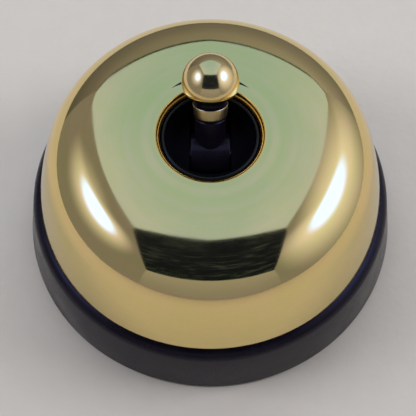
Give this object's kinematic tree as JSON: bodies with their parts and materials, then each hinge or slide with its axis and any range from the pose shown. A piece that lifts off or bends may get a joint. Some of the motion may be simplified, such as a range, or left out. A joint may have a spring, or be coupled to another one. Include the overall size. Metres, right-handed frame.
{
  "type": "dolly light switch",
  "caption": "Round surface-mounted light switch: spun brass domed cover on a black moulded base, with a leaning ball-ended lever in a black-lined well.",
  "frame": {"origin": "centre of the base's flat underside", "axes": "+Z out of the wall or ceiling through the domed cover; the lever swings about an axis along X and its ball leans to +Y at rest"},
  "size_m": [0.06, 0.06, 0.0379],
  "materials": {
    "black_phenolic": "moulded, semi-gloss",
    "polished_brass": "spun and polished",
    "stamped_brass": "stamped or turned, satin",
    "steel": "zinc plated, satin",
    "silver": "fine silver contact, satin",
    "vulcanised_fibre": "red-brown fibre sheet, matt"
  },
  "bodies": {
    "switch_body": {"base": "black_phenolic", "brass_cover": "polished_brass", "cover_thread_ring": "stamped_brass", "cover_lining": "vulcanised_fibre", "dolly_shroud": "black_phenolic", "shroud_screw_left": "steel", "shroud_screw_right": "steel", "mechanism_frame": "stamped_brass", "frame_screw_left": "steel", "frame_screw_right": "steel", "pivot_pin": "steel", "pivot_washer_left": "stamped_brass", "pivot_washer_right": "stamped_brass", "rocker_bracket": "stamped_brass", "rocker_pin": "steel", "bracket_screw": "steel", "front_terminal": "stamped_brass", "front_terminal_screw": "steel", "front_fixed_contact": "silver", "rear_terminal": "stamped_brass", "rear_terminal_screw": "steel", "rear_fixed_contact": "silver", "common_terminal": "stamped_brass", "common_terminal_screw": "steel"},
    "dolly": {"dolly_lever": "black_phenolic", "dolly_ball": "polished_brass", "dolly_stud": "steel", "plunger": "stamped_brass", "plunger_spring": "steel"},
    "rocker": {"contact_rocker": "stamped_brass", "front_moving_contact": "silver", "rear_moving_contact": "silver"}
  },
  "joints": [
    {"name": "dolly_tilt", "type": "hinge", "parent": "switch_body", "child": "dolly", "pos_m": [0, 0, 0.0224], "axis": [1, 0, 0], "range_deg": [0, 60]},
    {"name": "rocker_tilt", "type": "hinge", "parent": "switch_body", "child": "rocker", "pos_m": [0, 0, 0.0096], "axis": [1, 0, 0], "range_deg": [-20, 0]}
  ],
  "couplings": [
    {"joint": "rocker_tilt", "follows": "dolly_tilt", "ratio": -0.33333}
  ]
}
